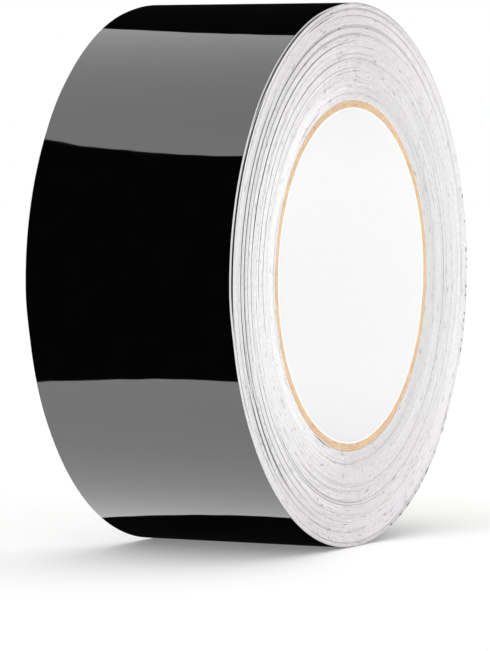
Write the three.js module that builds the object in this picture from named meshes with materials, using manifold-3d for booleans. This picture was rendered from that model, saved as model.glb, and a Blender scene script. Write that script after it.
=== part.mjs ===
// A roll of pressure-sensitive sign vinyl, 50.8 mm wide, on a 76.2 mm paperboard core.
//
// Units are millimetres and +Z is up. The roll's axis runs along X, and the roll stands on its rim:
// the origin is on the surface it stands on, under the middle of the axis. -Y is the front.
//
// The web is a laminate of paper release liner, adhesive and black film, with the film facing out.
// It is one spiral, and its place along that spiral is counted here in facets back from its free end
// (the tip), so the film and liner of each turn lie flat on the facets of the turn below.

import * as THREE from 'three';
import { mergeVertices } from 'three/addons/utils/BufferGeometryUtils.js';
import Module from 'manifold-3d';

const wasm = await Module();
wasm.setup();

// Core
const BORE_RADIUS = 38.1;
const CORE_WALL = 2.0;
const CORE_LENGTH = 50.2;
const CORE_CENTRE = -0.3;
const INNER_PLY = 0.25;
const OUTER_PLY = 0.18;
const GLUE_LINE = 0.05;
const BOARD_PLIES = 4;
const STRIP_WIDTH = 127.0;
const BUTT_SEAM = 0.3;
const FIRST_SEAM_ANGLE = Math.PI;
const SEAM_STAGGER = 1.4;
const SEAM_STEPS = 12;

// Web
const WEB_WIDTH = 50.8;
const WEB_LENGTH = 30480;
const FILM = 0.07;
const ADHESIVE = 0.02;
const LINER = 0.13;
const LAYER_GAP = 0.0042;
const TURN_PITCH = FILM + ADHESIVE + LINER + 3 * LAYER_GAP;
const BANDS = 3;

// Tapes
const START_TAPE = 0.08;
const START_SPACE = 0.15;
const START_TAPE_FACETS = 6;
const START_TAPE_WIDTH = 48.0;
const END_TAPE = 0.05;
const END_TAPE_WIDTH = 19.0;
const END_TAPE_FACETS = 2.6;

// Facets of one turn, with a flat one at the bottom. Angles go from +Y, the back, towards +Z.
const FACETS = 72;
const FACET_ANGLE = (2 * Math.PI) / FACETS;
const TIP_ANGLE = -4.5 * FACET_ANGLE;
const TAIL_FACETS = 16;
const PEEL_FACETS = 7;
const CUT_GAP = 0.3;

// Distances that count as nothing, in facets and in millimetres
const NO_PLACE = 1e-9;
const NO_DISTANCE = 1e-4;

const CORE_RADIUS = BORE_RADIUS + CORE_WALL;
const WEB_START_RADIUS = CORE_RADIUS + START_SPACE;
const ROLL_RADIUS = Math.sqrt(WEB_START_RADIUS ** 2 + (WEB_LENGTH * TURN_PITCH) / Math.PI);
const BOARD_PLY = (CORE_WALL - INNER_PLY - OUTER_PLY - (BOARD_PLIES + 1) * GLUE_LINE) / BOARD_PLIES;
const HALF_CUT = CUT_GAP / 2 / (ROLL_RADIUS * FACET_ANGLE);
const BOTTOM_PLACE = 0.75 * FACETS - TIP_ANGLE / FACET_ANGLE;

const FILM_LOOK = { color: 0x101010, roughness: 0.12 };
const ADHESIVE_LOOK = { color: 0x2b2b2c, roughness: 0.3 };
const LINER_LOOK = { color: 0xf1efec, roughness: 0.7 };
const TURNS_LOOK = { color: 0xe9e7e6, roughness: 0.8 };
const BOARD_LOOK = { color: 0xd9bd97, roughness: 0.9 };
const WHITE_PLY_LOOK = { color: 0xf4f3f1, roughness: 0.75 };
const TAPE_LOOK = { color: 0xe8e2cf, roughness: 0.6 };

// The corner of a turn's facets at a whole place, in the plane across the axis.
function corner(place, radius) {
  const angle = TIP_ANGLE + place * FACET_ANGLE;
  return new THREE.Vector2(radius * Math.cos(angle), radius * Math.sin(angle));
}

// Outer radius of the web at a place counted in facets back from the tip.
function spiralRadius(place) {
  return ROLL_RADIUS - (TURN_PITCH * place) / FACETS;
}

// A point on the web's facets, at a depth below its outer surface.
function onWeb(place, depth) {
  const whole = Math.floor(place + NO_PLACE);
  const part = Math.max(0, place - whole);
  const from = corner(whole, spiralRadius(whole) - depth);
  return from.lerp(corner(whole + 1, spiralRadius(whole + 1) - depth), part);
}

// Places from one end of a stretch to the other, with every facet corner between them.
function placesBetween(from, to) {
  const places = [from];
  for (let place = Math.floor(from) + 1; place < to - NO_PLACE; place += 1) {
    places.push(place);
  }
  places.push(to);
  return places;
}

// A flat outline in the YZ plane made into a solid of the given width, with its middle at a given x.
function extrudeAcross(shape, width, centre = 0) {
  const geometry = new THREE.ExtrudeGeometry(shape, { depth: width, bevelEnabled: false });
  geometry.translate(0, 0, centre - width / 2);
  const alongX = new THREE.Matrix4().makeBasis(
    new THREE.Vector3(0, 1, 0),
    new THREE.Vector3(0, 0, 1),
    new THREE.Vector3(1, 0, 0),
  );
  return geometry.applyMatrix4(alongX);
}

// One layer of the web between two places, from an outer depth down to an inner depth.
function webLayer(from, to, outerDepth, innerDepth, width = WEB_WIDTH) {
  const places = placesBetween(from, to);
  const outer = places.map((place) => onWeb(place, outerDepth));
  const inner = places.map((place) => onWeb(place, innerDepth)).reverse();
  return extrudeAcross(new THREE.Shape([...outer, ...inner]), width);
}

// A full ring of whole turns. Both of its surfaces step by one turn where the tip's angle is passed.
function turnBand(firstTurn, lastTurn, outerClearance) {
  const places = placesBetween(0, FACETS);
  const outer = places.map((place) => onWeb(place + firstTurn * FACETS, outerClearance));
  const inner = places.map((place) => onWeb(place + lastTurn * FACETS, 0));
  const shape = new THREE.Shape(outer);
  shape.holes.push(new THREE.Path(inner));
  return extrudeAcross(shape, WEB_WIDTH);
}

// The innermost band, whose hole is the round space left for the core.
function firstBand(firstTurn) {
  const places = placesBetween(0, FACETS);
  const outer = places.map((place) => onWeb(place + firstTurn * FACETS, LAYER_GAP));
  const shape = new THREE.Shape(outer);
  shape.holes.push(new THREE.Path(facetRing(WEB_START_RADIUS)));
  return extrudeAcross(shape, WEB_WIDTH);
}

function facetRing(radius) {
  return Array.from({ length: FACETS }, (_, place) => corner(place, radius));
}

// A tube of the core's length. Its left end is flush with the web, and its right end is set back.
function tube(innerRadius, outerRadius) {
  const shape = new THREE.Shape(facetRing(outerRadius));
  shape.holes.push(new THREE.Path(facetRing(innerRadius)));
  return extrudeAcross(shape, CORE_LENGTH, CORE_CENTRE);
}

function toSolid(geometry) {
  const plain = geometry.clone();
  plain.deleteAttribute('normal');
  plain.deleteAttribute('uv');
  const merged = mergeVertices(plain, NO_DISTANCE);
  return new wasm.Manifold(
    new wasm.Mesh({
      numProp: 3,
      vertProperties: Float32Array.from(merged.attributes.position.array),
      triVerts: Uint32Array.from(merged.index.array),
    }),
  );
}

function fromSolid(solid) {
  const mesh = solid.getMesh();
  const geometry = new THREE.BufferGeometry();
  geometry.setAttribute('position', new THREE.BufferAttribute(Float32Array.from(mesh.vertProperties), 3));
  geometry.setIndex(new THREE.BufferAttribute(Uint32Array.from(mesh.triVerts), 1));
  geometry.computeVertexNormals();
  return geometry;
}

// The slit between the two edges of a wound strip: a thin wall that climbs round the tube as a helix.
function helicalSlit(innerRadius, outerRadius, startAngle) {
  const meanTurn = Math.PI * (innerRadius + outerRadius);
  const pitch = STRIP_WIDTH / Math.cos(Math.asin(STRIP_WIDTH / meanTurn));
  const margin = 1.0;
  const reach = CORE_LENGTH / 2 + margin;
  const halfSlit = BUTT_SEAM / 2;
  const low = innerRadius - margin;
  const high = outerRadius + margin;
  const positions = [];
  const indices = [];
  for (let step = 0; step <= SEAM_STEPS; step += 1) {
    const x = CORE_CENTRE - reach + (2 * reach * step) / SEAM_STEPS;
    const angle = startAngle + (2 * Math.PI * x) / pitch;
    const out = new THREE.Vector2(Math.cos(angle), Math.sin(angle));
    const side = new THREE.Vector2(-out.y, out.x);
    const section = [
      [low, -halfSlit],
      [high, -halfSlit],
      [high, halfSlit],
      [low, halfSlit],
    ];
    for (const [radius, offset] of section) {
      positions.push(x, radius * out.x + offset * side.x, radius * out.y + offset * side.y);
    }
  }
  for (let step = 0; step < SEAM_STEPS; step += 1) {
    for (let edge = 0; edge < 4; edge += 1) {
      const a = step * 4 + edge;
      const b = step * 4 + ((edge + 1) % 4);
      indices.push(a, b, b + 4, a, b + 4, a + 4);
    }
  }
  const end = SEAM_STEPS * 4;
  indices.push(0, 2, 1, 0, 3, 2, end, end + 1, end + 2, end, end + 2, end + 3);
  const geometry = new THREE.BufferGeometry();
  geometry.setAttribute('position', new THREE.Float32BufferAttribute(positions, 3));
  geometry.setIndex(indices);
  return geometry;
}

// One ply of the core: a strip wound into a tube whose edges meet in a helical butt seam.
function woundPly(innerRadius, outerRadius, seamAngle) {
  const slit = toSolid(helicalSlit(innerRadius, outerRadius, seamAngle));
  return fromSolid(toSolid(tube(innerRadius, outerRadius)).subtract(slit));
}

// The group is lifted so that the flat facet at the bottom lies on the surface.
const roll = new THREE.Group();
roll.position.z = spiralRadius(BOTTOM_PLACE) * Math.cos(FACET_ANGLE / 2);

function addPiece(name, geometry, look) {
  const mesh = new THREE.Mesh(geometry, new THREE.MeshStandardMaterial({ metalness: 0, ...look }));
  mesh.name = name;
  roll.add(mesh);
}

function addCore() {
  let radius = BORE_RADIUS;
  let seamAngle = FIRST_SEAM_ANGLE;
  const addPly = (name, thickness, look) => {
    addPiece(name, woundPly(radius, radius + thickness, seamAngle), look);
    radius += thickness + GLUE_LINE;
    seamAngle += SEAM_STAGGER;
  };
  addPly('core_inner_ply', INNER_PLY, WHITE_PLY_LOOK);
  for (let ply = 1; ply <= BOARD_PLIES; ply += 1) {
    addPly(`core_board_ply_${ply}`, BOARD_PLY, BOARD_LOOK);
  }
  addPly('core_outer_ply', OUTER_PLY, BOARD_LOOK);
}

// The tape lies on the core, under the web's first turn.
function addStartTape() {
  const clearance = (START_SPACE - START_TAPE) / 2;
  const inner = CORE_RADIUS + clearance;
  const places = placesBetween(0, START_TAPE_FACETS);
  const over = places.map((place) => corner(place, inner + START_TAPE));
  const under = places.map((place) => corner(place, inner)).reverse();
  const outline = new THREE.Shape([...over, ...under]);
  addPiece('start_tape', extrudeAcross(outline, START_TAPE_WIDTH, CORE_CENTRE), TAPE_LOOK);
}

// All the turns under the outermost one, in three rings of whole turns.
function addBuriedTurns() {
  const allTurns = (ROLL_RADIUS - WEB_START_RADIUS) / TURN_PITCH;
  const turnsPerBand = Math.floor((allTurns - 1) / BANDS);
  const names = ['turns_outer', 'turns_middle'];
  names.forEach((name, band) => {
    const firstTurn = 1 + band * turnsPerBand;
    addPiece(name, turnBand(firstTurn, firstTurn + turnsPerBand, LAYER_GAP), TURNS_LOOK);
  });
  addPiece('turns_inner', firstBand(1 + names.length * turnsPerBand), TURNS_LOOK);
}

// The layers of the outermost turn, each cut where the tail bends away from the roll and where the
// film starts to peel from the liner.
function addOutermostTurn() {
  const adhesiveDepth = FILM + LAYER_GAP;
  const linerDepth = adhesiveDepth + ADHESIVE + LAYER_GAP;
  const layers = [
    ['film', 0, FILM, FILM_LOOK],
    ['adhesive', adhesiveDepth, adhesiveDepth + ADHESIVE, ADHESIVE_LOOK],
    ['liner', linerDepth, linerDepth + LINER, LINER_LOOK],
  ];
  const rootBefore = TAIL_FACETS - HALF_CUT;
  const rootAfter = TAIL_FACETS + HALF_CUT;
  for (const [layer, outerDepth, innerDepth, look] of layers) {
    const wound = webLayer(rootAfter, FACETS - 2 * HALF_CUT, outerDepth, innerDepth);
    addPiece(`outer_turn_${layer}`, wound, look);
    if (layer === 'liner') {
      addPiece('tail_liner', webLayer(0, rootBefore, outerDepth, innerDepth), look);
      continue;
    }
    const held = webLayer(PEEL_FACETS + HALF_CUT, rootBefore, outerDepth, innerDepth);
    addPiece(`tail_${layer}`, held, look);
    addPiece(`peel_${layer}`, webLayer(0, PEEL_FACETS - HALF_CUT, outerDepth, innerDepth), look);
  }
}

// The end tape: one half is stuck on the film at the tip, and the other half reaches past the tip and
// down one turn onto the roll.
function addEndTape() {
  const overFilm = -LAYER_GAP;
  const stuck = webLayer(HALF_CUT, END_TAPE_FACETS, overFilm - END_TAPE, overFilm, END_TAPE_WIDTH);
  addPiece('end_tape_stuck_half', stuck, TAPE_LOOK);
  const tab = webLayer(
    FACETS - END_TAPE_FACETS,
    FACETS - 2 * HALF_CUT,
    overFilm - END_TAPE,
    overFilm,
    END_TAPE_WIDTH,
  );
  addPiece('end_tape_tab', tab, TAPE_LOOK);
}

addCore();
addStartTape();
addBuriedTurns();
addOutermostTurn();
addEndTape();

export default roll;
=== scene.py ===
# The looks of a roll of gloss black sign vinyl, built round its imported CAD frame.
#
# The roll's axis runs along X, its front is -Y and it stands on its rim. Lengths are in metres, and
# angles go round the axis from +Y, the back, over +Z, the top. The web is one spiral of film,
# adhesive and liner, and a place along it is counted in turns back from its free end, the tip.

import math
import random

import bpy
import numpy as np
from mathutils import Matrix, Vector


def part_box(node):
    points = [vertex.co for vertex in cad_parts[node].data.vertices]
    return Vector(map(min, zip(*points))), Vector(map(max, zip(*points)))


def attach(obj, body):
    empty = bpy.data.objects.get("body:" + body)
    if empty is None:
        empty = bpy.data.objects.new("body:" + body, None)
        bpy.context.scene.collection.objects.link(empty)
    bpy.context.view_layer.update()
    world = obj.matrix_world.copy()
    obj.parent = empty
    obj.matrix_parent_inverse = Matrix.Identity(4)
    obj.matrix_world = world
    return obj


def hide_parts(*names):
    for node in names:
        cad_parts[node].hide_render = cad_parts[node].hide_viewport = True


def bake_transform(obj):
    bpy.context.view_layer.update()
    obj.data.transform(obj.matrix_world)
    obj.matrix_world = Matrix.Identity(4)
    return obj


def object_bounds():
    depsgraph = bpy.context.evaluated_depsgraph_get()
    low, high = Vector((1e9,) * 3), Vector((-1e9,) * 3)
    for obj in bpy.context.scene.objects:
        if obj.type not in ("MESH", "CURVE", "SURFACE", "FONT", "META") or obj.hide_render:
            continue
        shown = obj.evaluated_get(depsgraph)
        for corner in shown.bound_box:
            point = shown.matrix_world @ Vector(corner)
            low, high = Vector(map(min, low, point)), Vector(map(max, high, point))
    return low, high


MM = 0.001
WHITE = (1.0, 1.0, 1.0)

# The web, as in the CAD source
FILM = 0.07 * MM
ADHESIVE = 0.02 * MM
LINER = 0.13 * MM
LAYER_GAP = 0.0042 * MM
TURN_PITCH = FILM + ADHESIVE + LINER + 3 * LAYER_GAP
WEB_LENGTH = 30480 * MM
FACETS = 72
TIP_ANGLE = math.radians(-22.5)

# The outer and inner side of each layer, as depths below the outside of the web
ADHESIVE_DEPTH = FILM + LAYER_GAP
LINER_DEPTH = ADHESIVE_DEPTH + ADHESIVE + LAYER_GAP
FILM_DEPTHS = (0.0, FILM)
ADHESIVE_DEPTHS = (ADHESIVE_DEPTH, ADHESIVE_DEPTH + ADHESIVE)
LINER_DEPTHS = (LINER_DEPTH, LINER_DEPTH + LINER)
FILM_AND_ADHESIVE = (0.0, ADHESIVE_DEPTH + ADHESIVE)

# The core, as in the CAD source
BORE_RADIUS = 38.1 * MM
CORE_WALL = 2.0 * MM
INNER_PLY = 0.25 * MM
OUTER_PLY = 0.18 * MM
GLUE_LINE = 0.05 * MM
BOARD_PLIES = 4
STRIP_WIDTH = 127.0 * MM
BUTT_SEAM = 0.3 * MM
FIRST_SEAM_ANGLE = math.pi
SEAM_STAGGER = 1.4
START_SPACE = 0.15 * MM

# How finely the core is drawn, how soft its edges are, and how far a ply swells into the glue line
PLY_STEPS_ROUND = 240
PLY_STEPS_ACROSS = 24
PLY_SOFTENING = 0.05 * MM
PLY_SWELL = 0.4 * GLUE_LINE

# Where the web bends and where its film is split, in facets back from the tip
TAIL_ROOT = 16
FILM_SPLIT = 8

# The end tape. It reaches so many facets to either side of the tip, and steps down round the tip.
END_TAPE = 0.05 * MM
END_TAPE_WIDTH = 19.0 * MM
END_TAPE_FACETS = 2.6
END_TAPE_STEPS = 120
END_TAPE_CLEARANCE = 0.01 * MM
TIP_STEP_FACETS = 0.12

# How finely the spiral is drawn, in steps per turn, and the angle over which any edge is sharp
BURIED_STEPS = 144
OUTER_STEPS = 432
SHARP_ANGLE = math.radians(30)

# The slit edges. The liner's flare out over the film's, which are set back, except where the
# film is bare. The turns wander along the axis, and the ones near the core wander the most.
FLARE_WIDTH = 0.12 * MM
FLARE = 0.030 * MM
FILM_SETBACK = 0.05 * MM
OUTER_FILM_SETBACK = 0.14 * MM
EDGE_WANDER = 0.006 * MM
INNER_WANDER = 2.5
BARE_FROM = 0.62

# The film's slow swells, and its orange peel as a share of them
FILM_SWELL = 0.06 * MM
PEEL_SHARE = 0.035

# Dark ticks on the liner's slit edge: how far in from the rim they reach, how far behind the axis
# they start, and the level of the noise above which a patch has them
RIM_TICK_DEPTH = 0.75 * MM
RIM_TICKS_FROM = 12 * MM
RIM_TICK_LEVEL = 0.47

# The roll's size, and the buried turns in the three bands that the CAD source makes of them
CORE_RADIUS = BORE_RADIUS + CORE_WALL
WEB_START_RADIUS = CORE_RADIUS + START_SPACE
ROLL_RADIUS = math.sqrt(WEB_START_RADIUS**2 + WEB_LENGTH * TURN_PITCH / math.pi)
ALL_TURNS = (ROLL_RADIUS - WEB_START_RADIUS) / TURN_PITCH
BANDS = ("outer", "middle", "inner")
BAND_TURNS = math.floor((ALL_TURNS - 1) / len(BANDS))

# Runs of turns that stand proud of the right side face, or are set back where the height is
# negative, so that film shows beside them as a dark line: first turn, how many turns, middle and
# half span in degrees round the axis, and height. Each one fades in and out over at most
# RUN_FADE degrees.
STEPPED_RUNS = (
    (0.0, 2, 123, 19, -0.50 * MM),
    (0.0, 3, 164, 23, -0.42 * MM),
    (0.0, 4, 198, 13, -0.10 * MM),
    (8.6, 1, 107, 5, 0.26 * MM),
    (16.9, 4, 171, 33, 0.15 * MM),
    (14.4, 4, 213, 9, 0.20 * MM),
    (22.8, 4, 153, 52, 0.15 * MM),
    (19.8, 4, 218, 13, 0.20 * MM),
    (16.5, 1, 270, 3, 0.18 * MM),
    (30.2, 3, 145, 55, 0.03 * MM),
    (27.3, 3, 222, 20, 0.09 * MM),
    (25.0, 3, 255, 12, 0.07 * MM),
    (37.5, 5, 132, 38, 0.19 * MM),
    (37.0, 5, 185, 16, 0.06 * MM),
    (34.5, 4, 222, 21, 0.09 * MM),
    (32.5, 4, 257, 14, 0.09 * MM),
    (46.0, 3, 140, 12, 0.035 * MM),
    (44.0, 3, 245, 26, 0.08 * MM),
    (53.5, 4, 106, 22, 0.14 * MM),
    (53.5, 4, 157, 28, 0.08 * MM),
    (53.0, 3, 252, 16, 0.08 * MM),
    (62.6, 3, 140, 56, 0.05 * MM),
    (79.0, 3, 92, 14, 0.09 * MM),
    (89.7, 2, 124, 9, 0.12 * MM),
    (91.3, 2, 186, 34, 0.07 * MM),
    (93.0, 1, 246, 5, 0.25 * MM),
)
RUN_FADE = 12.0

# The right side face rises from the rim to its dome and sinks again towards the core. The turns
# from DISH_TURN in also fall to the end of the core, which is set back.
DOME = 0.35 * MM
DOME_TURN = 34
DISH_TURN = 74

# The camera, fitted to the photograph. It is shifted sideways and down without being turned.
CAMERA_AZIMUTH = 26.98
CAMERA_ELEVATION = 2.90
CAMERA_DISTANCE = 16.067 * ROLL_RADIUS
CAMERA_RIGHT = -0.042 * ROLL_RADIUS
CAMERA_UP = -0.192 * ROLL_RADIUS
CAMERA_LENS = 239.5
CAMERA_CLIP = (0.05, 20.0)

# The softboxes over and under the roll, which reach equally far to the left and the right. Their
# curved edges are drawn with so many points, and carry on past their end points by a share.
SOFTBOX_DISTANCE = 0.8
SOFTBOX_REACH = 0.9
SOFTBOX_EDGE_POINTS = 9
SOFTBOX_EDGE_OVERRUN = 0.3

# The key light, its power in watts, and the brightness of the white surround as the camera, matt
# surfaces and mirror images see it
KEY_PLACE = (1.8, -0.65, 0.2)
KEY_SIZE = 1.2
KEY_POWER = 14.5
SURROUND_SEEN = 1.0
SURROUND_SOFT = 0.9
SURROUND_MIRRORED = 0.006
MIRRORED_TINT = (1.0, 0.97, 0.95)

# The floor: half its width, how far it lies under the roll, and how much it glows by itself
FLOOR_HALF_SIZE = 3.0
FLOOR_DROP = 0.02 * MM
FLOOR_GLOW = 0.16

# The sockets of a Mix node that mixes colours, which share their names with other sockets
MIX_FIRST = 6
MIX_SECOND = 7
MIX_RESULT = 2

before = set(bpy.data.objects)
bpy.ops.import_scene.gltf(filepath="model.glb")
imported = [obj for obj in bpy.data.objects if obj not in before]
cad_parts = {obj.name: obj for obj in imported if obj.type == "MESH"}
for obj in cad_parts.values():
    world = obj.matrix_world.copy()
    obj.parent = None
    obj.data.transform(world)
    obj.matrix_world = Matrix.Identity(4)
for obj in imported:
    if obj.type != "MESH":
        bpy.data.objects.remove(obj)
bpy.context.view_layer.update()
core_low, core_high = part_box("core_inner_ply")
turns_low, turns_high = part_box("turns_outer")
AXIS = (core_low + core_high) / 2
AXIS.x = (turns_low.x + turns_high.x) / 2
WEB_WIDTH = turns_high.x - turns_low.x
CORE_SETBACK = turns_high.x - core_high.x


# ---------------------------------------------------------------- shapes


def smooth(t):
    """0 below 0, 1 above 1, and a soft S between them."""
    t = np.clip(t, 0.0, 1.0)
    return t * t * (3 - 2 * t)


def new_object(name, data):
    """An object that is linked into the scene."""
    obj = bpy.data.objects.new(name, data)
    bpy.context.scene.collection.objects.link(obj)
    return obj


def path_round(x, radius, angles):
    """A row of points round the roll's axis, as x, y and z."""
    y = AXIS.y + radius * np.cos(angles)
    z = AXIS.z + radius * np.sin(angles)
    return np.stack(np.broadcast_arrays(x, y, z), axis=1)


def swept(name, paths):
    """A closed solid, from the path that each corner of its section follows."""
    corners = len(paths)
    rows = len(paths[0])
    points = np.stack(paths, axis=1).reshape(-1, 3)
    faces = []
    for row in range(rows - 1):
        here = row * corners
        there = here + corners
        for k in range(corners):
            after = (k + 1) % corners
            faces.append((here + k, here + after, there + after, there + k))
    faces.append(tuple(reversed(range(corners))))
    faces.append(tuple(range((rows - 1) * corners, rows * corners)))
    mesh = bpy.data.meshes.new(name)
    mesh.from_pydata(points.tolist(), [], faces)
    mesh.shade_smooth()
    mesh.set_sharp_from_angle(angle=SHARP_ANGLE)
    return new_object(name, mesh)


def dress(piece, material):
    """Give a piece its only material."""
    piece.data.materials.clear()
    piece.data.materials.append(material)


# ---------------------------------------------------------------- the web


def window(degrees, middle, half_span):
    """1 within half_span of middle, round the circle, falling smoothly to 0 outside it."""
    away = np.abs((degrees - middle + 180.0) % 360.0 - 180.0)
    fade = min(RUN_FADE, half_span)
    return smooth((half_span + fade / 2 - away) / fade)


def knots_of(seed, per_turn, low, high):
    """Seeded random heights along the whole web, joined by straight lines."""
    chance = random.Random(seed)
    count = int((ALL_TURNS + 2) * per_turn)
    places = np.arange(count) / per_turn - 0.5
    return places, np.array([chance.uniform(low, high) for _ in range(count)])


WANDER = knots_of(seed=11, per_turn=2.3, low=-EDGE_WANDER, high=EDGE_WANDER)
BARENESS = knots_of(seed=5, per_turn=5.7, low=0.0, high=1.0)


def bare(turns):
    """How far the film's slit edge shows between the liner's: 0 in most places, up to 1."""
    return smooth((np.interp(turns, *BARENESS) - BARE_FROM) / (1.0 - BARE_FROM))


def side_shift(turns):
    """How far the web is shifted along the roll's axis at each place."""
    degrees = np.degrees(TIP_ANGLE + 2 * math.pi * turns)
    shift = np.interp(turns, *WANDER) * (1 + INNER_WANDER * smooth(turns / ALL_TURNS))
    for first, count, middle, half_span, height in STEPPED_RUNS:
        inside = (turns >= first) & (turns < first + count)
        shift = shift + inside * height * window(degrees, middle, half_span)
    return shift


def face_rise(turns):
    """How far the right side face stands out at each place, from the rim in to the core."""
    sink = smooth((turns - DOME_TURN) / (ALL_TURNS - DOME_TURN))
    dish = smooth((turns - DISH_TURN) / (ALL_TURNS - DISH_TURN))
    return DOME * (smooth(turns / DOME_TURN) - sink) - CORE_SETBACK * dish


def web_radius(turns):
    """The radius of the outside of the web."""
    return ROLL_RADIUS - TURN_PITCH * turns


def layer_section(half, depths, swell, flared):
    """The corners of one layer's section, as x and depth, from the outer left one clockwise."""
    outer, inner = depths
    corners = [(-half, outer - swell), (half, outer - swell)]
    corners += [(half, inner + swell), (-half, inner + swell)]
    if flared:
        inside = half - FLARE_WIDTH
        corners[1:1] = [(-inside, outer), (inside, outer)]
        corners[5:5] = [(inside, inner), (-inside, inner)]
    return corners


def web_layer(name, first, last, depths, steps, setback=0.0, flare=0.0):
    """One layer of the web between two places in turns, with its slit edges set back or flared."""
    turns = np.linspace(first, last, int((last - first) * steps) + 1)
    angles = TIP_ANGLE + 2 * math.pi * turns
    covered = 1.0 - bare(turns)
    shift = side_shift(turns)
    half = WEB_WIDTH / 2 - setback * covered
    section = layer_section(half, depths, flare * covered, flared=flare > 0)
    right_corners = range(len(section) // 4, 3 * len(section) // 4)
    paths = []
    for k, (x, depth) in enumerate(section):
        rise = face_rise(turns) if k in right_corners else 0.0
        paths.append(path_round(AXIS.x + x + shift + rise, web_radius(turns) - depth, angles))
    return swept(name, paths)


def add_buried_turns(looks):
    """The turns under the outermost one: the liner and the film of each band of whole turns."""
    first = 1.0
    for band in BANDS:
        last = ALL_TURNS if band == BANDS[-1] else first + BAND_TURNS
        liner = web_layer(
            f"liner_turns_{band}", first, last, LINER_DEPTHS, BURIED_STEPS, flare=FLARE
        )
        film = web_layer(
            f"film_turns_{band}", first, last, FILM_AND_ADHESIVE, BURIED_STEPS, FILM_SETBACK
        )
        for piece, look in ((liner, "liner"), (film, "film")):
            dress(piece, looks[look])
            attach(piece, "wound_roll")
        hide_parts(f"turns_{band}")
        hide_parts(f"turns_{band}")
        first = last


def add_outermost_turn(looks):
    """The outermost turn and the tail, layer by layer, cut into pieces where the joints are."""
    root = TAIL_ROOT / FACETS
    split = FILM_SPLIT / FACETS
    layers = (
        ("film", FILM_DEPTHS, OUTER_FILM_SETBACK),
        ("adhesive", ADHESIVE_DEPTHS, OUTER_FILM_SETBACK),
        ("liner", LINER_DEPTHS, 0.0),
    )
    for layer, depths, setback in layers:
        wound = web_layer(f"{layer}_outer_turn", root, 1.0, depths, OUTER_STEPS, setback)
        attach(wound, "wound_roll")
        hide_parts(f"outer_turn_{layer}")
        tail_end = 0.0 if layer == "liner" else split
        tail = web_layer(f"{layer}_tail", tail_end, root, depths, OUTER_STEPS, setback)
        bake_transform(tail)
        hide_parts(f"tail_{layer}")
        pieces = [wound, tail]
        if layer != "liner":
            peel = web_layer(f"{layer}_peel", 0.0, split, depths, OUTER_STEPS, setback)
            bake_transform(peel)
            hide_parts(f"peel_{layer}")
            pieces.append(peel)
        for piece in pieces:
            dress(piece, looks[layer])


def add_end_tape(looks):
    """The end tape, which steps down from the tip's film to the turn below."""
    places = np.linspace(-END_TAPE_FACETS, END_TAPE_FACETS, END_TAPE_STEPS)
    turns = places / FACETS
    angles = TIP_ANGLE + 2 * math.pi * turns
    step = smooth((TIP_STEP_FACETS - places) / (2 * TIP_STEP_FACETS))
    on_tip = web_radius(np.maximum(turns, 0.0))
    on_turn_below = web_radius(turns + 1.0)
    under = on_tip * (1 - step) + step * on_turn_below
    half = END_TAPE_WIDTH / 2
    low = END_TAPE_CLEARANCE
    high = END_TAPE + END_TAPE_CLEARANCE
    section = ((-half, high), (half, high), (half, low), (-half, low))
    paths = [path_round(AXIS.x + x, under + height, angles) for x, height in section]
    tape = swept("end_tape", paths)
    dress(tape, looks["tape"])
    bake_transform(tape)
    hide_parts("end_tape_stuck_half", "end_tape_tab")


# ---------------------------------------------------------------- the core


def ply_section(inner, outer):
    """The corners of a ply's section, as x and radius, with its four edges softened."""
    left, right = core_low.x, core_high.x
    inset = min(PLY_SOFTENING, (outer - inner) / 3)
    section = [(left, inner + inset), (left + inset, inner)]
    section += [(x, inner) for x in np.linspace(left, right, PLY_STEPS_ACROSS)[1:-1]]
    section += [(right - inset, inner), (right, inner + inset)]
    section += [(right, outer - inset), (right - inset, outer)]
    section += [(x, outer) for x in np.linspace(right, left, PLY_STEPS_ACROSS)[1:-1]]
    section += [(left + inset, outer), (left, outer - inset)]
    return section


def wound_ply(name, inner, outer, seam_angle):
    """A strip of board wound into a tube, whose edges meet in a helical butt seam."""
    mean = (inner + outer) / 2
    pitch = STRIP_WIDTH / math.cos(math.asin(STRIP_WIDTH / (2 * math.pi * mean)))
    gap = BUTT_SEAM / mean
    paths = []
    for x, radius in ply_section(inner, outer):
        start = seam_angle + 2 * math.pi * x / pitch
        angles = start + gap / 2 + np.linspace(0, 2 * math.pi - gap, PLY_STEPS_ROUND + 1)
        paths.append(path_round(x, radius, angles))
    return swept(name, paths)


def add_core(looks):
    """The core's plies, from the white one that lines the bore outwards."""
    board = (CORE_WALL - INNER_PLY - OUTER_PLY - (BOARD_PLIES + 1) * GLUE_LINE) / BOARD_PLIES
    plies = [("inner_ply", INNER_PLY, "white_ply")]
    plies += [(f"board_ply_{n}", board, "board") for n in range(1, BOARD_PLIES + 1)]
    plies += [("outer_ply", OUTER_PLY, "board")]
    radius = BORE_RADIUS
    seam_angle = FIRST_SEAM_ANGLE
    for name, thickness, look in plies:
        ply = wound_ply(f"{name}_tube", radius, radius + thickness + PLY_SWELL, seam_angle)
        dress(ply, looks[look])
        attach(ply, "wound_roll")
        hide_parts(f"core_{name}")
        radius += thickness + GLUE_LINE
        seam_angle += SEAM_STAGGER


# ---------------------------------------------------------------- materials


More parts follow.
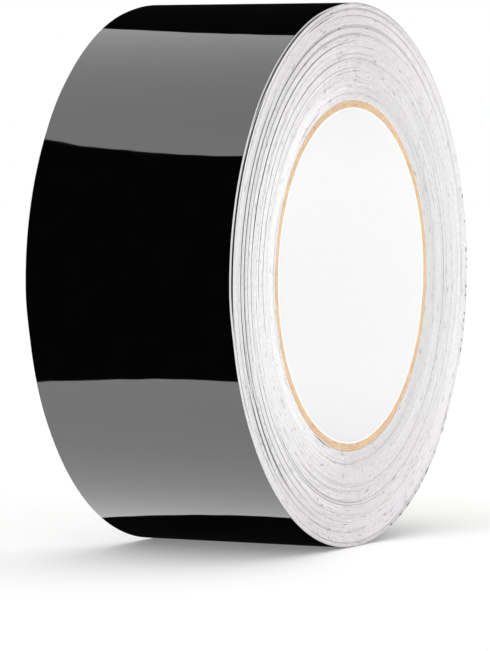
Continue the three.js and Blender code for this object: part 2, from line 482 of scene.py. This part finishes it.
class Nodes:
    """A short way to write a material's nodes."""

    def __init__(self, name):
        self.material = bpy.data.materials.new(name)
        self.material.use_nodes = True
        self.tree = self.material.node_tree
        self.shader = self.tree.nodes["Principled BSDF"]

    def add(self, kind, **settings):
        node = self.tree.nodes.new(kind)
        for key, value in settings.items():
            setattr(node, key, value)
        return node

    def join(self, output, socket):
        self.tree.links.new(output, socket)

    def set(self, socket, value):
        """Give one of the shader's own sockets a value that is the same all over."""
        self.shader.inputs[socket].default_value = value

    def calc(self, operation, *values):
        """Arithmetic on one or two values, each a number or the output of a node."""
        node = self.add("ShaderNodeMath", operation=operation)
        for slot, value in enumerate(values):
            if isinstance(value, (int, float)):
                node.inputs[slot].default_value = value
            else:
                self.join(value, node.inputs[slot])
        return node.outputs[0]

    def split(self, vector):
        node = self.add("ShaderNodeSeparateXYZ")
        self.join(vector, node.inputs[0])
        return node.outputs

    def position(self):
        """A place in the piece's own frame, in metres."""
        return self.add("ShaderNodeTexCoord").outputs["Object"]

    def polar(self):
        """(round the roll, out from its axis, along it), in metres, as a vector."""
        place = self.split(self.position())
        y = self.calc("SUBTRACT", place["Y"], AXIS.y)
        z = self.calc("SUBTRACT", place["Z"], AXIS.z)
        squares = [self.calc("MULTIPLY", side, side) for side in (y, z)]
        radius = self.calc("SQRT", self.calc("ADD", *squares))
        round_it = self.calc("MULTIPLY", self.calc("ARCTAN2", z, y), ROLL_RADIUS)
        vector = self.add("ShaderNodeCombineXYZ")
        for slot, output in enumerate((round_it, radius, place["X"])):
            self.join(output, vector.inputs[slot])
        return vector.outputs[0]

    def mottle(self, place, sizes, detail, roughness=0.55):
        """Noise between 0 and 1, whose spots have these sizes in millimetres along the axes."""
        scale = self.add("ShaderNodeMapping", vector_type="POINT")
        scale.inputs["Scale"].default_value = [1.0 / (size * MM) for size in sizes]
        self.join(place, scale.inputs["Vector"])
        noise = self.add("ShaderNodeTexNoise")
        noise.inputs["Scale"].default_value = 1.0
        noise.inputs["Detail"].default_value = detail
        noise.inputs["Roughness"].default_value = roughness
        self.join(scale.outputs[0], noise.inputs["Vector"])
        return noise.outputs["Fac"]

    def ramp(self, value, low, high):
        """A colour between two others, each of them given with the value it belongs to."""
        node = self.add("ShaderNodeValToRGB")
        for element, (place, colour) in zip(node.color_ramp.elements, (low, high)):
            element.position = place
            element.color = (*colour, 1.0)
        self.join(value, node.inputs[0])
        return node.outputs["Color"]

    def mixed(self, kind, first, second, share=None):
        """Two colours mixed in one of Blender's ways, by a share or, without one, fully."""
        node = self.add("ShaderNodeMix", data_type="RGBA", blend_type=kind)
        if share is None:
            node.inputs["Factor"].default_value = 1.0
        else:
            self.join(share, node.inputs["Factor"])
        self.join(first, node.inputs[MIX_FIRST])
        self.join(second, node.inputs[MIX_SECOND])
        return node.outputs[MIX_RESULT]

    def colour(self, output):
        self.join(output, self.shader.inputs["Base Color"])

    def roughness(self, value, low, high):
        node = self.add("ShaderNodeMapRange")
        node.inputs["To Min"].default_value = low
        node.inputs["To Max"].default_value = high
        self.join(value, node.inputs["Value"])
        self.join(node.outputs[0], self.shader.inputs["Roughness"])

    def bump(self, height, distance):
        node = self.add("ShaderNodeBump")
        node.inputs["Distance"].default_value = distance
        node.inputs["Strength"].default_value = 1.0
        self.join(height, node.inputs["Height"])
        self.join(node.outputs[0], self.shader.inputs["Normal"])


def film_look():
    """Calendered gloss black vinyl: near black, with a mirror-like face, a trace of orange peel and
    the slow swells of a film wound over many turns.
    """
    nodes = Nodes("film_gloss_black")
    peel = nodes.mottle(nodes.position(), (6, 6, 6), detail=1.0)
    swell = nodes.mottle(nodes.position(), (26, 17, 17), detail=2.0)
    nodes.colour(nodes.ramp(peel, (0.3, (0.0006, 0.0006, 0.0006)), (0.7, (0.0012, 0.0012, 0.0011))))
    nodes.roughness(peel, 0.02, 0.035)
    nodes.bump(nodes.calc("ADD", nodes.calc("MULTIPLY", peel, PEEL_SHARE), swell), FILM_SWELL)
    nodes.set("IOR", 1.5)
    return nodes.material


def slit_edge_colour(nodes, grain, tone_and_shade_blotch):
    """White, with long darker arcs of painted shade for the shadowed gaps between the turns, a fine
    grain and dark flecks, and blotchy painted shade, a little pink, towards the top and the bottom
    of the roll.
    """
    polar = nodes.polar()
    # The long darker arcs are painted shade, standing for the shadowed gaps between the turns.
    arcs = nodes.mottle(polar, (14, 0.26, 3), detail=3.0)
    flecks = nodes.mottle(polar, (3.2, 0.42, 3), detail=1.5)
    # Painted shade towards the top and the bottom of the roll, blotchy and a little pink.
    above = nodes.calc("SUBTRACT", nodes.split(nodes.position())["Z"], AXIS.z)
    from_middle = nodes.calc("DIVIDE", nodes.calc("ABSOLUTE", above), ROLL_RADIUS)
    top_bottom_shade_share = nodes.calc("MULTIPLY", from_middle, nodes.calc("ADD", tone_and_shade_blotch, 0.5))

    colour = nodes.ramp(arcs, (0.28, (0.80, 0.79, 0.795)), (0.50, (0.88, 0.875, 0.875)))
    fine = nodes.ramp(grain, (0.34, (0.78, 0.775, 0.78)), (0.58, WHITE))
    top_bottom_shade = nodes.ramp(top_bottom_shade_share, (0.35, WHITE), (0.95, (0.93, 0.895, 0.925)))
    dark = nodes.ramp(flecks, (0.25, (0.34, 0.33, 0.35)), (0.36, WHITE))
    for layer in (fine, top_bottom_shade, dark):
        colour = nodes.mixed("MULTIPLY", colour, layer)
    return colour


def with_rim_ticks(nodes, colour):
    """A colour with short dark ticks across it, in patches near the rim and towards the back."""
    polar = nodes.polar()
    spots = nodes.mottle(polar, (1.3, 9, 9), detail=0.0)
    patches = nodes.mottle(polar, (15, 40, 40), detail=0.0)
    near_rim = nodes.calc("GREATER_THAN", nodes.split(polar)["Y"], ROLL_RADIUS - RIM_TICK_DEPTH)
    y = nodes.split(nodes.position())["Y"]
    at_back = nodes.calc("GREATER_THAN", y, AXIS.y + RIM_TICKS_FROM)
    in_patch = nodes.calc("GREATER_THAN", patches, RIM_TICK_LEVEL)
    marked = nodes.calc("MULTIPLY", nodes.calc("MULTIPLY", near_rim, at_back), in_patch)
    ticks = nodes.ramp(spots, (0.60, WHITE), (0.64, (0.16, 0.16, 0.16)))
    return nodes.mixed("MULTIPLY", colour, ticks, share=marked)


def liner_look():
    """White release paper. Its flat sides are clean, and its slit edge is grained and marked, with
    painted shade in long arcs and towards the top and the bottom.
    """
    nodes = Nodes("liner_white_paper")
    grain = nodes.mottle(nodes.polar(), (0.5, 0.26, 3), detail=3.0, roughness=0.7)
    # This noise gives the flat sides their tone, and makes the painted shade on the slit edge
    # blotchy.
    tone_and_shade_blotch = nodes.mottle(nodes.position(), (5, 5, 5), detail=3.0)
    flat = nodes.ramp(tone_and_shade_blotch, (0.3, (0.80, 0.79, 0.775)), (0.7, (0.84, 0.835, 0.82)))
    slit = with_rim_ticks(nodes, slit_edge_colour(nodes, grain, tone_and_shade_blotch))
    normal = nodes.split(nodes.add("ShaderNodeNewGeometry").outputs["Normal"])
    along_axis = nodes.calc("ABSOLUTE", normal["X"])
    on_edge = nodes.calc("GREATER_THAN", along_axis, 0.5)
    nodes.colour(nodes.mixed("MIX", flat, slit, share=on_edge))
    nodes.roughness(grain, 0.5, 0.7)
    nodes.bump(nodes.calc("MULTIPLY", grain, on_edge), 0.015 * MM)
    return nodes.material


def adhesive_look():
    """Clear permanent adhesive on black film: dark, with a soft haze and fine ripples."""
    nodes = Nodes("adhesive_clear")
    ripple = nodes.mottle(nodes.position(), (9, 1.4, 1.4), detail=3.0)
    nodes.colour(nodes.ramp(ripple, (0.3, (0.022, 0.022, 0.023)), (0.7, (0.04, 0.04, 0.042))))
    nodes.roughness(ripple, 0.16, 0.3)
    nodes.bump(ripple, 0.02 * MM)
    return nodes.material


def board_look():
    """Kraft board: tan, with fibres along the wound strip and a cloudy shade."""
    nodes = Nodes("core_kraft_board")
    fibres = nodes.mottle(nodes.polar(), (2.6, 0.22, 0.5), detail=5.0)
    cloud = nodes.mottle(nodes.position(), (7, 7, 7), detail=2.0)
    base = nodes.ramp(fibres, (0.3, (0.56, 0.37, 0.22)), (0.68, (0.80, 0.60, 0.41)))
    shade = nodes.ramp(cloud, (0.35, (0.92, 0.90, 0.86)), (0.65, WHITE))
    nodes.colour(nodes.mixed("MULTIPLY", base, shade))
    nodes.roughness(fibres, 0.8, 0.95)
    nodes.bump(fibres, 0.03 * MM)
    return nodes.material


def white_ply_look():
    """Smooth white paper that lines the bore, with a faint formation mottle."""
    nodes = Nodes("core_white_ply")
    mottle = nodes.mottle(nodes.position(), (2.5, 2.5, 2.5), detail=4.0)
    nodes.colour(nodes.ramp(mottle, (0.3, (0.912, 0.914, 0.920)), (0.7, (0.926, 0.928, 0.934))))
    nodes.roughness(mottle, 0.6, 0.75)
    nodes.bump(mottle, 0.004 * MM)
    return nodes.material


def tape_look():
    """Cream crepe paper tape, with its crepe ridges across the tape's length."""
    nodes = Nodes("tape_crepe_paper")
    crepe = nodes.mottle(nodes.polar(), (0.45, 9, 3.5), detail=4.0)
    nodes.colour(nodes.ramp(crepe, (0.3, (0.66, 0.58, 0.42)), (0.7, (0.80, 0.74, 0.58))))
    nodes.roughness(crepe, 0.6, 0.8)
    nodes.bump(crepe, 0.05 * MM)
    return nodes.material


# ---------------------------------------------------------------- stage, lights and camera


def softbox_edge(start, middle, end):
    """The parabola through three points, carried on a little past them, with a straight run to the
    softbox's left and right ends.
    """
    points = [(-SOFTBOX_REACH, start[1])]
    for t in np.linspace(-SOFTBOX_EDGE_OVERRUN, 1 + SOFTBOX_EDGE_OVERRUN, SOFTBOX_EDGE_POINTS):
        shares = ((1 - t) * (1 - 2 * t), 4 * t * (1 - t), t * (2 * t - 1))
        corners = (start, middle, end)
        points.append(tuple(sum(w * c[k] for w, c in zip(shares, corners)) for k in (0, 1)))
    points.append((SOFTBOX_REACH, end[1]))
    return points


def glow_look(name, front, back, strength_front, strength_back):
    """A light that changes evenly from its front edge to its back edge."""
    material = bpy.data.materials.new(name)
    material.use_nodes = True
    tree = material.node_tree
    tree.nodes.clear()
    place = tree.nodes.new("ShaderNodeTexCoord")
    split = tree.nodes.new("ShaderNodeSeparateXYZ")
    fade = tree.nodes.new("ShaderNodeMapRange")
    fade.inputs["From Min"].default_value = front
    fade.inputs["From Max"].default_value = back
    fade.inputs["To Min"].default_value = strength_front
    fade.inputs["To Max"].default_value = strength_back
    glow = tree.nodes.new("ShaderNodeEmission")
    out = tree.nodes.new("ShaderNodeOutputMaterial")
    tree.links.new(place.outputs["Object"], split.inputs[0])
    tree.links.new(split.outputs["Y"], fade.inputs["Value"])
    tree.links.new(fade.outputs[0], glow.inputs["Strength"])
    tree.links.new(glow.outputs[0], out.inputs["Surface"])
    return material


def softbox(name, back_edge, front_edge, height, strength_front, strength_back):
    """A glowing panel at one height, with curved edges and dimmer towards its back."""
    outline = softbox_edge(*back_edge) + softbox_edge(*front_edge)[::-1]
    front = min(y for _, y in outline)
    back = max(y for _, y in outline)
    mesh = bpy.data.meshes.new(name)
    mesh.from_pydata([(x, y, height) for x, y in outline], [], [tuple(range(len(outline)))])
    panel = new_object(name, mesh)
    mesh.materials.append(glow_look(name, front, back, strength_front, strength_back))
    panel.visible_camera = False
    panel.visible_diffuse = False
    panel.visible_shadow = False


def add_film_reflections():
    """The softboxes over and under the roll that the gloss film mirrors as two grey bands. Each
    edge is a left, a middle and a right point.
    """
    softbox(
        "softbox_over",
        back_edge=((-0.571, 0.622), (-0.484, 0.512), (-0.416, 0.450)),
        front_edge=((-0.531, -0.494), (-0.515, -0.609), (-0.474, -0.649)),
        height=AXIS.z + SOFTBOX_DISTANCE,
        strength_front=3.7,
        strength_back=1.75,
    )
    softbox(
        "softbox_under",
        back_edge=((-0.582, 0.656), (-0.473, 0.472), (-0.413, 0.436)),
        front_edge=((-0.632, -0.778), (-0.610, -0.867), (-0.555, -0.877)),
        height=AXIS.z - SOFTBOX_DISTANCE,
        strength_front=4.1,
        strength_back=2.1,
    )


def add_key_light():
    """One big soft key on the side of the face, which the film doesn't mirror."""
    key = bpy.data.lights.new("key", "AREA")
    key.shape = "RECTANGLE"
    key.size = KEY_SIZE
    key.size_y = KEY_SIZE
    key.energy = KEY_POWER
    lamp = new_object("key", key)
    lamp.location = Vector(KEY_PLACE)
    aim = AXIS - lamp.location
    lamp.rotation_euler = aim.to_track_quat("-Z", "Y").to_euler()
    lamp.visible_camera = False
    lamp.visible_glossy = False


def background(tree, strength, colour):
    node = tree.nodes.new("ShaderNodeBackground")
    node.inputs["Strength"].default_value = strength
    node.inputs["Color"].default_value = (*colour, 1.0)
    return node.outputs[0]


def either_shader(tree, choice, unless, when):
    """The first shader where the choice is 0, and the second where it is 1."""
    node = tree.nodes.new("ShaderNodeMixShader")
    for slot, output in enumerate((choice, unless, when)):
        tree.links.new(output, node.inputs[slot])
    return node.outputs[0]


def add_surround():
    """An even white surround, which is nearly dark in the film's reflections."""
    world = bpy.data.worlds.new("studio")
    bpy.context.scene.world = world
    world.use_nodes = True
    tree = world.node_tree
    tree.nodes.clear()
    ray = tree.nodes.new("ShaderNodeLightPath").outputs
    seen = background(tree, SURROUND_SEEN, WHITE)
    soft = background(tree, SURROUND_SOFT, WHITE)
    mirrored = background(tree, SURROUND_MIRRORED, MIRRORED_TINT)
    unseen = either_shader(tree, ray["Is Glossy Ray"], soft, mirrored)
    surround = either_shader(tree, ray["Is Camera Ray"], unseen, seen)
    out = tree.nodes.new("ShaderNodeOutputWorld")
    tree.links.new(surround, out.inputs["Surface"])


def floor_look():
    """Matt and nearly white, with a little light of its own to lift it to the backdrop."""
    nodes = Nodes("floor_pale")
    cloud = nodes.mottle(nodes.position(), (400, 400, 400), detail=2.0)
    nodes.colour(nodes.ramp(cloud, (0.3, (0.93, 0.93, 0.925)), (0.7, (0.95, 0.95, 0.945))))
    nodes.set("Roughness", 0.9)
    nodes.set("Specular IOR Level", 0.0)
    nodes.set("Emission Color", (*WHITE, 1.0))
    nodes.set("Emission Strength", FLOOR_GLOW)
    return nodes.material


def add_floor():
    """A pale floor just under the roll, to take its shadow."""
    low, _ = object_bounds()
    size = FLOOR_HALF_SIZE
    corners = [(-size, -size), (size, -size), (size, size), (-size, size)]
    mesh = bpy.data.meshes.new("floor")
    mesh.from_pydata([(x, y, low.z - FLOOR_DROP) for x, y in corners], [], [(0, 1, 2, 3)])
    mesh.materials.append(floor_look())
    floor = new_object("floor", mesh)
    floor.visible_glossy = False
    floor.visible_shadow = False


def add_camera():
    """The photograph's camera, far off and with a long lens."""
    azimuth = math.radians(CAMERA_AZIMUTH)
    elevation = math.radians(CAMERA_ELEVATION)
    flat = math.cos(elevation)
    back = Vector((math.sin(azimuth) * flat, -math.cos(azimuth) * flat, math.sin(elevation)))
    right = (-back).cross(Vector((0, 0, 1))).normalized()
    up = right.cross(-back)
    data = bpy.data.cameras.new("camera")
    data.lens = CAMERA_LENS
    data.clip_start, data.clip_end = CAMERA_CLIP
    camera = new_object("camera", data)
    camera.matrix_world = Matrix((right, up, back)).transposed().to_4x4()
    camera.location = AXIS + back * CAMERA_DISTANCE + right * CAMERA_RIGHT + up * CAMERA_UP
    bpy.context.scene.camera = camera


# ---------------------------------------------------------------- the whole scene

looks = {
    "film": film_look(),
    "liner": liner_look(),
    "adhesive": adhesive_look(),
    "board": board_look(),
    "white_ply": white_ply_look(),
    "tape": tape_look(),
}

add_camera()
add_core(looks)
add_buried_turns(looks)
add_outermost_turn(looks)
add_end_tape(looks)
dress(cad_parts["start_tape"], looks["tape"])
add_floor()
add_key_light()
add_surround()
add_film_reflections()
bpy.context.scene.view_settings.view_transform = "Standard"
